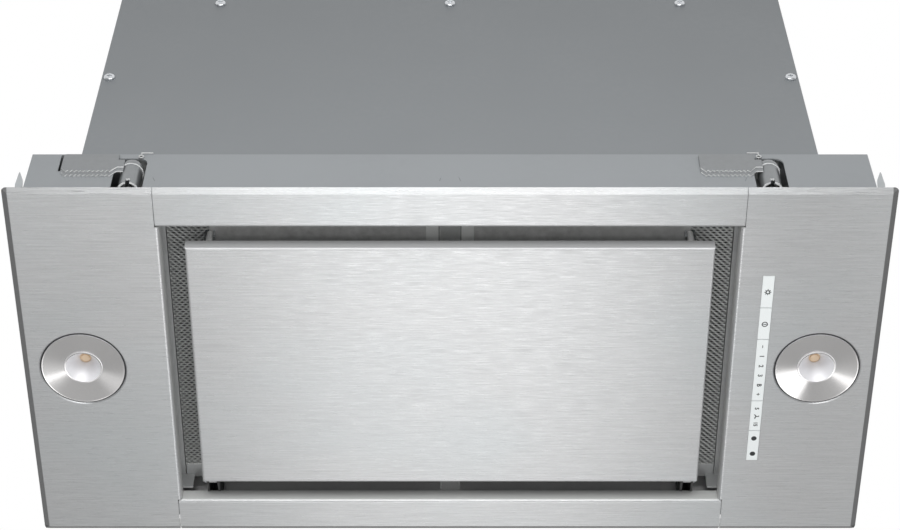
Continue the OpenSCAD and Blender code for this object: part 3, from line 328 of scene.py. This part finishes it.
def brushed_steel(name, colour, fold, dark_ends=None, dark_rear=None, fold_start=0.75):
    """Stainless sheet, brushed along X, duller on its folds, which take the colour given; the edge
    panel's darker one is painted shade.

    dark_ends gives the half width from which its bevels are painted darker as painted shade, and
    dark_rear the depth."""
    finish = Finish(name, colour, metallic=1.0, roughness=0.3, Anisotropic=0.7)
    streaks = finish.noise((28, 1150, 1150), detail=3, roughness=0.6)
    hairs = finish.noise((70, 3200, 3200), detail=2, offset=(3, 1, 2))
    clouds = finish.noise((7, 9, 9), detail=2, offset=(5, 0, 1))
    streaky = finish.spread(streaks, 0, 1, start=0.28, end=0.72)
    tone = finish.tint(streaky, scaled(colour, 0.9), scaled(colour, 1.08))
    cooler = (colour[0] * 0.95, colour[1], colour[2] * 1.01)
    tone = finish.tint(finish.spread(clouds, 0, 0.45, start=0.45, end=0.7), tone, cooler)
    # Painted shade: the end bevels are painted darker
    if dark_ends:
        aside = finish.distance_aside()
        end = finish.spread(aside, 0, 1, start=dark_ends, end=dark_ends + BEVEL_BLUR)
        tone = finish.tint(end, tone, scaled(colour, PAINTED_END_SHADE))
    # Painted shade: the rear bevel is painted darker
    if dark_rear:
        depth = finish.axis(finish.place, "Y")
        rear = finish.spread(depth, 0, 1, start=dark_rear, end=dark_rear + BEVEL_BLUR)
        tone = finish.tint(rear, tone, scaled(colour, PAINTED_REAR_SHADE))
    folds = finish.folds(fold_start)
    finish.colour_from(finish.tint(folds, tone, fold))
    finish.metallic_from(finish.blend(folds, 1.0, 0.25))
    finish.roughness_from(finish.blend(folds, finish.spread(hairs, 0.24, 0.40), 0.55))
    finish.bump(hairs, depth=0.00002, strength=0.5)
    finish.grain_along_x()
    return finish


def coated_sheet(name, colour, metallic=0.6, roughness=0.42, speckle=0.05, painted_light_colour=None):
    """Zinc-coated steel sheet with a fine mottle. The last argument, if given, is painted light: a
    pale colour on the rear wall within, which lies in shade.
    """
    finish = Finish(name, colour, metallic=metallic, roughness=roughness)
    mottle = finish.noise((190, 190, 190), detail=4, roughness=0.65)
    clouds = finish.noise((14, 14, 14), detail=2, offset=(2, 4, 1))
    darker, lighter = scaled(colour, 1 - speckle), scaled(colour, 1 + speckle)
    tone = finish.tint(finish.spread(mottle, 0, 1), darker, lighter)
    tone = finish.tint(finish.spread(clouds, 0, 0.6), tone, scaled(colour, 1.05))
    # Painted light: the shaded rear wall within is painted pale
    if painted_light_colour:
        tone = finish.tint(finish.inner_faces(REAR_WALL), tone, painted_light_colour)
    finish.colour_from(tone)
    finish.roughness_from(finish.spread(mottle, roughness - 0.06, roughness + 0.08))
    finish.bump(mottle, depth=0.00003, strength=0.25)
    return finish


def punched_sheet(name, colour, underside_highlight):
    """Coated sheet whose faces that look down, its teeth among them, are painted near white as a
    painted highlight.
    """
    finish = Finish(name, colour, metallic=0.3, roughness=0.45)
    mottle = finish.noise((260, 260, 260), detail=3)
    # Painted highlight: the faces that look down are painted near white
    lit_undersides = finish.undersides()
    tone = finish.tint(finish.spread(mottle, 0, 1), scaled(colour, 0.95), scaled(colour, 1.05))
    finish.colour_from(finish.tint(lit_undersides, tone, underside_highlight))
    finish.metallic_from(finish.blend(lit_undersides, 0.55, 0.0))
    finish.roughness_from(finish.spread(mottle, 0.28, 0.4))
    finish.bump(mottle, depth=0.000004, strength=0.3)
    return finish


def turned_metal(name, colour, roughness=0.25, metallic=1.0):
    """Plated or bare small metal part."""
    finish = Finish(name, colour, metallic=metallic, roughness=roughness)
    marks = finish.noise((900, 900, 900), detail=3)
    tone = finish.tint(finish.spread(marks, 0, 1), scaled(colour, 0.92), scaled(colour, 1.05))
    finish.colour_from(tone)
    finish.roughness_from(finish.spread(marks, roughness - 0.05, roughness + 0.1))
    finish.bump(marks, depth=0.00001, strength=0.3)
    return finish


def dished_metal(name, colour, roughness, low, high):
    """Polished metal that turns up its light like a deeper dish round the axis of each lamp.

    low and high are the corners of one lamp's dish. The other one mirrors it."""
    finish = Finish(name, colour, metallic=1.0, roughness=roughness)
    centre = (low + high) / 2
    cone = finish.folds(start=0.9, end=0.7)
    from_x = finish.math("SUBTRACT", finish.distance_aside(), abs(centre.x))
    from_y = finish.math("SUBTRACT", finish.axis(finish.place, "Y"), centre.y)
    square_x = finish.math("MULTIPLY", from_x, from_x)
    square_y = finish.math("MULTIPLY", from_y, from_y)
    distance = finish.math("SQRT", finish.math("ADD", square_x, square_y))
    marks = finish.noise((900, 900, 900), detail=3)
    tone = finish.tint(finish.spread(marks, 0, 1), scaled(colour, 0.97), scaled(colour, 1.03))
    finish.colour_from(finish.tint(cone, tone, CONE))
    finish.metallic_from(finish.blend(cone, 1.0, 0.4))
    finish.roughness_from(finish.blend(cone, roughness, 0.5))
    rise = finish.math("MULTIPLY", distance, DISH_SLOPE)
    relief = finish.math("MULTIPLY", marks, 0.000002)
    finish.bump(finish.math("ADD", rise, relief), depth=1.0)
    return finish


def moulded_plastic(name, colour, roughness=0.45, grain=0.00002, spread=0.04):
    """Moulded plastic with a fine grain."""
    finish = Finish(name, colour, roughness=roughness, IOR=1.5)
    grains = finish.noise((2200, 2200, 2200), detail=2)
    clouds = finish.noise((40, 40, 40), detail=2)
    darker, lighter = scaled(colour, 1 - spread), scaled(colour, 1 + spread)
    finish.colour_from(finish.tint(finish.spread(clouds, 0, 1), darker, lighter))
    finish.roughness_from(finish.spread(grains, roughness - 0.05, roughness + 0.07))
    finish.bump(grains, depth=grain, strength=0.4)
    return finish


def make_finishes():
    """The materials of all finishes, by name."""
    side_ends, rear_edge = PANEL_END - BEVEL, PANEL_REAR - BEVEL
    made = (
        brushed_steel("side_steel", STEEL, SIDE_FOLD, dark_ends=side_ends, dark_rear=rear_edge),
        brushed_steel("rail_steel", STEEL, RAIL_FOLD, dark_rear=rear_edge),
        # Painted shade on the edge panel's folds, over a wider band of them
        brushed_steel("edge_steel", STEEL, EDGE_FOLD_SHADE, fold_start=0.97),
        # Painted light on the frame's rear wall within
        coated_sheet("frame_sheet", (0.27, 0.285, 0.297), metallic=0.2, roughness=0.5,
                     painted_light_colour=(0.9, 0.9, 0.9)),
        coated_sheet("housing_sheet", (0.208, 0.221, 0.231), metallic=0.15, roughness=0.5,
                     speckle=0.04),
        coated_sheet("inner_sheet", (0.50, 0.51, 0.51), metallic=0.35, roughness=0.5),
        # Painted shade: the hinge brackets are painted near black, where they lie in shade
        coated_sheet("bracket_painted_shade", (0.06, 0.06, 0.06), metallic=0.35, roughness=0.5),
        coated_sheet("filter_sheet", (0.56, 0.57, 0.57), metallic=0.35, roughness=0.45),
        # Painted light: the centre bar and the filters' bars are painted pale, as if they catch
        # light
        coated_sheet("bar_painted_light", (0.86, 0.87, 0.86), metallic=0.1, roughness=0.5),
        coated_sheet("apron_sheet", (0.56, 0.56, 0.555), metallic=0.1, roughness=0.5,
                     speckle=0.2),
        coated_sheet("spring_sheet", (0.40, 0.42, 0.43), metallic=0.3),
        # Painted highlight on the clamps' downward faces
        punched_sheet("clamp_sheet", (0.24, 0.25, 0.257), (0.95, 0.96, 0.96)),
        turned_metal("dark_steel", (0.07, 0.07, 0.075), 0.35),
        turned_metal("zinc", (0.62, 0.64, 0.66)),
        turned_metal("aluminium", (0.55, 0.56, 0.56), 0.38),
        turned_metal("stud_metal", (0.92, 0.92, 0.91), 0.3, metallic=0.1),
        turned_metal("net", (0.74, 0.75, 0.74), 0.38, metallic=0.7),
        # Painted shade: the filter frames are painted dark, where they lie in shade
        coated_sheet("filter_frame_painted_shade", (0.20, 0.20, 0.20), metallic=0.35, roughness=0.5),
        # Painted shade: the backing sheet above the net is painted near black
        turned_metal("net_upper_painted_shade", (0.06, 0.06, 0.06), 0.4, metallic=0.8),
        dished_metal("reflector", (0.75, 0.74, 0.735), 0.2, *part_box("lamp_reflector_left")),
        moulded_plastic("light_source", (0.78, 0.60, 0.42), 0.3),
        moulded_plastic("key_white", (0.90, 0.94, 0.94), 0.25, grain=0.000004, spread=0.01),
        moulded_plastic("pale_plastic", (0.62, 0.62, 0.60)),
        moulded_plastic("dark_plastic", (0.03, 0.03, 0.033)),
        moulded_plastic("board_green", (0.02, 0.10, 0.05), 0.35),
        moulded_plastic("key_ink", (0.02, 0.023, 0.025), 0.5),
        moulded_plastic("pale_floor", (0.86, 0.86, 0.86), 0.7, spread=0.01),
    )
    return {finish.name: finish.material for finish in made}


finishes = make_finishes()
# The finish of each material slot of the part, and the nodes that have one of their own
finish_of_slot = {
    "brushed_stainless": "rail_steel", "galvanised": "inner_sheet", "dark_steel": "dark_steel",
    "zinc": "zinc", "aluminium": "aluminium", "expanded_metal": "net", "reflector": "reflector",
    "led": "light_source", "key_white": "key_white", "pale_plastic": "pale_plastic",
    "dark_plastic": "dark_plastic", "circuit_board": "board_green",
}
finish_of_node = {
    "left_side_panel": "side_steel", "right_side_panel": "side_steel",
    "edge_panel_skin": "edge_steel", "catch_studs": "stud_metal",
    "base_frame": "frame_sheet", "side_springs": "spring_sheet",
    "housing_shell": "housing_sheet", "front_cover": "housing_sheet",
    "top_plate": "housing_sheet", "hinge_brackets": "bracket_painted_shade",
    "filter_frame_left": "filter_frame_painted_shade", "filter_frame_right": "filter_frame_painted_shade",
    "centre_bar": "bar_painted_light",
    "clamp_arm_front_left": "clamp_sheet", "clamp_arm_front_right": "clamp_sheet",
    "clamp_arm_rear_left": "clamp_sheet", "clamp_arm_rear_right": "clamp_sheet",
}


def dress_nodes():
    for part in frame["record"]["subparts"]:
        name = part["node"]
        finish = finish_of_node.get(name, finish_of_slot[part["material_slot"]])
        data = nodes[name].data
        data.materials.clear()
        data.materials.append(finishes[finish])


# Pieces made here


def keep_mesh(mesh, name, finish, body):
    """Makes a piece of a mesh, gives it its finish and sets it on its body."""
    mesh.materials.append(finishes[finish])
    piece = link_object(name, mesh)
    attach(piece, body)
    return piece


def keep(bm, name, finish, body):
    """The same for a bmesh, which it frees."""
    mesh = bpy.data.meshes.new(name)
    bm.to_mesh(mesh)
    bm.free()
    return keep_mesh(mesh, name, finish, body)


# The filters' mesh. The net is the sheet seen below, and the backing a coarser one above it,
# painted near black as painted shade.

LOWER_NET = {"pitch_x": 4.2 * MM, "pitch_y": 3.9 * MM, "strand": 0.32 * MM, "twist": 0.85 * MM,
             "thick": 0.2 * MM}
UPPER_NET = {"pitch_x": 8.0 * MM, "pitch_y": 6.2 * MM, "strand": 1.6 * MM, "twist": 0.30 * MM,
             "thick": 0.35 * MM}
# The share of its depth that each gap of a lower net keeps, and how far it slants
GAP_SHAPE = {"left": {"flat": 0.62, "lean": 0.0}, "right": {"flat": 0.6, "lean": 0.1}}
# How far the net lies under the filter's frame, and the backing under the top of the mesh node
NET_DROP = 0.66 * MM
BACKING_DROP = 0.45 * MM
# How far all of it keeps inside the outline of the frame or of the mesh node
RIM = 0.02 * MM
# Rear ends of the net and of the border strip behind it, and the width of the border's corners
MESH_REAR = 104 * MM
STRIP_REAR = 108 * MM
CORNER = 13 * MM
BORDER_T = 0.5 * MM
# Where the nets end beside the hood's middle, and the plain bars along the channel begin
CENTRE_BAR = 16.0 * MM
BAR_T = 0.6 * MM
# The plain strip over the nets' front: its rear edge, its outer ends, and how far its two faces
# lie under the filter's frame
APRON_REAR = -84 * MM
APRON_END = 160 * MM
APRON_LOW = 1.6 * MM
APRON_HIGH = 1.2 * MM


def cut_outside(bm, low, high):
    """Cuts away what lies outside an upright rectangle."""
    for axis, side in ((0, -1), (0, 1), (1, -1), (1, 1)):
        point, normal = Vector((0, 0, 0)), Vector((0, 0, 0))
        point[axis] = (low if side < 0 else high)[axis]
        normal[axis] = side
        bmesh.ops.bisect_plane(bm, geom=bm.verts[:] + bm.edges[:] + bm.faces[:],
                               plane_co=point, plane_no=normal, clear_outer=True)


def expanded_sheet(low, high, z, pitch_x, pitch_y, strand, twist, thick, flat=1.0, lean=0.0):
    """One sheet of expanded metal: a lattice of diamonds with tilted strands.

    flat scales its gaps along Y, and lean slants them."""
    bm = bmesh.new()
    across = max((high[0] - low[0]) / pitch_x, (high[1] - low[1]) / pitch_y)
    count = int(across * 2 + 4)
    bmesh.ops.create_grid(bm, x_segments=count, y_segments=count, size=count / 2)
    bmesh.ops.rotate(bm, verts=bm.verts, matrix=Matrix.Rotation(math.radians(45), 3, "Z"))
    bmesh.ops.scale(bm, verts=bm.verts,
                    vec=(pitch_x / math.sqrt(2), pitch_y / math.sqrt(2), 1))
    middle = Vector(((low[0] + high[0]) / 2, (low[1] + high[1]) / 2, z))
    bmesh.ops.translate(bm, verts=bm.verts, vec=middle)
    cut_outside(bm, low, high)
    gaps = bm.faces[:]
    bmesh.ops.inset_individual(bm, faces=gaps, thickness=strand / 2, use_even_offset=True)
    for face in gaps:
        centre = face.calc_center_median()
        for vert in face.verts:
            out_x, out_y = vert.co.x - centre.x, vert.co.y - centre.y
            vert.co.y = centre.y + out_y * flat + out_x * lean
            vert.co.z += twist * out_y / (pitch_y / 2)
    bmesh.ops.delete(bm, geom=gaps, context="FACES")
    bmesh.ops.solidify(bm, geom=bm.faces[:], thickness=thick)
    bmesh.ops.recalc_face_normals(bm, faces=bm.faces)
    return bm


def add_strip(bm, low, high):
    """Adds a thin strip between two corners."""
    low, high = Vector(low), Vector(high)
    made = bmesh.ops.create_cube(bm, size=1)
    bmesh.ops.scale(bm, verts=made["verts"], vec=high - low)
    bmesh.ops.translate(bm, verts=made["verts"], vec=(low + high) / 2)


def add_filter_net(side):
    """Mesh of one filter: a fine net with plain strips round it, and a coarser sheet above."""
    low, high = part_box("filter_frame_" + side)
    hidden_low, hidden_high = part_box("filter_mesh_" + side)
    body = side + "_filter"
    left, right = low.x + RIM, high.x - RIM
    front, rear = low.y + RIM, high.y - RIM
    if side == "left":
        mesh_left, mesh_right = left, -CENTRE_BAR
        bar_left, bar_right = -CENTRE_BAR, right
        corner_left, corner_right = left, left + CORNER
    else:
        mesh_left, mesh_right = CENTRE_BAR, right
        bar_left, bar_right = left, CENTRE_BAR
        corner_left, corner_right = right - CORNER, right

    lower = expanded_sheet((mesh_left, front), (mesh_right, MESH_REAR), low.z - NET_DROP,
                           **LOWER_NET, **GAP_SHAPE[side])
    upper = expanded_sheet((hidden_low.x + RIM, hidden_low.y + RIM),
                           (hidden_high.x - RIM, hidden_high.y - RIM),
                           hidden_high.z - BACKING_DROP, **UPPER_NET)
    net = keep(lower, "filter_net_" + side, "net", body)
    backing = keep(upper, "filter_backing_" + side, "net_upper_painted_shade", body)
    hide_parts("filter_mesh_" + side)
    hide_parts("filter_mesh_" + side)

    border = bmesh.new()
    add_strip(border, (left, MESH_REAR, low.z - BORDER_T), (right, STRIP_REAR, low.z))
    add_strip(border, (corner_left, STRIP_REAR, low.z - BORDER_T), (corner_right, rear, low.z))
    keep(border, "filter_border_" + side, "filter_sheet", body)
    bars = bmesh.new()
    add_strip(bars, (bar_left, front, low.z - BAR_T), (bar_right, rear, low.z))
    # Painted light on the filters' bars
    keep(bars, "filter_bar_" + side, "bar_painted_light", body)
    apron = bmesh.new()
    apron_left, apron_right = max(mesh_left, -APRON_END), min(mesh_right, APRON_END)
    add_strip(apron, (apron_left, front, low.z - APRON_LOW),
              (apron_right, APRON_REAR, low.z - APRON_HIGH))
    keep(apron, "filter_apron_" + side, "apron_sheet", body)


# Signs on the keys, drawn in mm. Their places are counted from the fascia's front edge.

KEY_FACE = -2.3 * MM
INK = 0.03 * MM
SIGN_X = 211.2 * MM
FRONT_Y = -144 * MM
FIGURE_H = 3.0
SMALL_FIGURE_H = 2.7
# Height of a figure as a share of the typeface's size, and how much bolder it is drawn
FIGURE_SHARE = 0.70
BOLDER = 0.12 * MM
ROUND_STEPS = 40


def sign_place(y):
    """Puts a sign drawn in X and Y on the key strip: its top points to +X, and it faces down."""
    turn = Matrix(((0, 1, 0), (1, 0, 0), (0, 0, -1))).to_4x4()
    return Matrix.Translation((SIGN_X, FRONT_Y + y * MM, KEY_FACE)) @ turn


def add_figure(name, text, y, body, height=FIGURE_H):
    """A plain number on a key, made of the built-in typeface."""
    curve = bpy.data.curves.new(name, "FONT")
    curve.body = text
    curve.size = height * MM / FIGURE_SHARE
    curve.align_x = "CENTER"
    curve.align_y = "CENTER"
    curve.extrude = INK
    curve.offset = BOLDER
    carrier = link_object(name, curve)
    bpy.context.view_layer.update()
    mesh = bpy.data.meshes.new_from_object(carrier)
    bpy.data.objects.remove(carrier)
    mesh.transform(sign_place(y))
    mesh.name = name
    mesh.materials.clear()
    keep_mesh(mesh, name, "key_ink", body)


def bar(bm, start, end, width):
    """A flat stroke from one point to another."""
    a, b = Vector(start), Vector(end)
    along = b - a
    made = bmesh.ops.create_cube(bm, size=1)
    size = Matrix.Diagonal((along.length * MM, width * MM, 2 * INK, 1))
    turn = Matrix.Rotation(math.atan2(along.y, along.x), 4, "Z")
    middle = (a + b) / 2 * MM
    shift = Matrix.Translation((middle.x, middle.y, 0))
    bmesh.ops.transform(bm, matrix=shift @ turn @ size, verts=made["verts"])


def ring(bm, radius, width):
    """A flat ring round the middle of a sign."""
    start = Vector(((radius - width / 2) * MM, 0, -INK))
    out, up = Vector((width * MM, 0, 0)), Vector((0, 0, 2 * INK))
    corners = [start, start + out, start + out + up, start + up]
    verts = [bm.verts.new(corner) for corner in corners]
    edges = [bm.edges.new((verts[i], verts[(i + 1) % 4])) for i in range(4)]
    bmesh.ops.spin(bm, geom=edges, axis=(0, 0, 1), cent=(0, 0, 0), angle=math.tau,
                   steps=ROUND_STEPS, use_merge=True)


def disc(bm, radius):
    """A filled dot."""
    bmesh.ops.create_cone(bm, cap_ends=True, segments=ROUND_STEPS, radius1=radius * MM,
                          radius2=radius * MM, depth=2 * INK)


def polar(radius, degrees):
    return (radius * math.cos(math.radians(degrees)), radius * math.sin(math.radians(degrees)))


def draw_sun(bm):
    ring(bm, 1.2, 0.7)
    for angle in range(0, 360, 45):
        bar(bm, polar(1.55, angle), polar(2.3, angle), 0.6)


def draw_power(bm):
    ring(bm, 1.75, 0.68)
    bar(bm, (0, -1.1), (0, 1.1), 0.65)


def draw_minus(bm):
    bar(bm, (-1.1, 0), (1.1, 0), 0.5)


def draw_plus(bm):
    draw_minus(bm)
    bar(bm, (0, -1.1), (0, 1.1), 0.5)


def draw_timer(bm):
    """Three arms with a short hook each."""
    for angle in (90, 210, 330):
        tip, hook = polar(1.75, angle), polar(0.7, angle + 70)
        bar(bm, (0, 0), tip, 0.7)
        bar(bm, tip, (tip[0] + hook[0], tip[1] + hook[1]), 0.55)


def draw_dot(bm):
    disc(bm, 1.9)


def add_sign(name, draw, y, body):
    bm = bmesh.new()
    draw(bm)
    bmesh.ops.recalc_face_normals(bm, faces=bm.faces)
    bmesh.ops.transform(bm, matrix=sign_place(y), verts=bm.verts)
    keep(bm, name, "key_ink", body)


def add_signs():
    """The signs from the front to the rear."""
    add_sign("sign_light", draw_sun, 80.8, "light_button")
    add_sign("sign_power", draw_power, 107.0, "power_button")
    add_sign("sign_minus", draw_minus, 125.6, "fan_rocker")
    add_figure("figure_one", "1", 133.6, "fan_rocker")
    add_figure("figure_two", "2", 141.9, "fan_rocker")
    add_figure("figure_three", "3", 149.9, "fan_rocker")
    add_figure("figure_boost", "B", 158.1, "fan_rocker")
    add_sign("sign_plus", draw_plus, 165.9, "fan_rocker")
    add_figure("figure_five", "5", 178.3, "timer_button", SMALL_FIGURE_H)
    add_sign("sign_timer", draw_timer, 185.1, "timer_button")
    add_figure("figure_fifteen", "15", 191.8, "timer_button", SMALL_FIGURE_H)
    add_sign("sign_dot_front", draw_dot, 204.4, "filter_button")
    add_sign("sign_dot_rear", draw_dot, 218.0, "filter_button")


bpy.context.scene.view_settings.view_transform = "Standard"
add_camera()
add_studio_world()
add_floor()
for softbox in SOFTBOXES:
    add_softbox(*softbox)

dress_nodes()
add_filter_net("left")
add_filter_net("right")
add_signs()
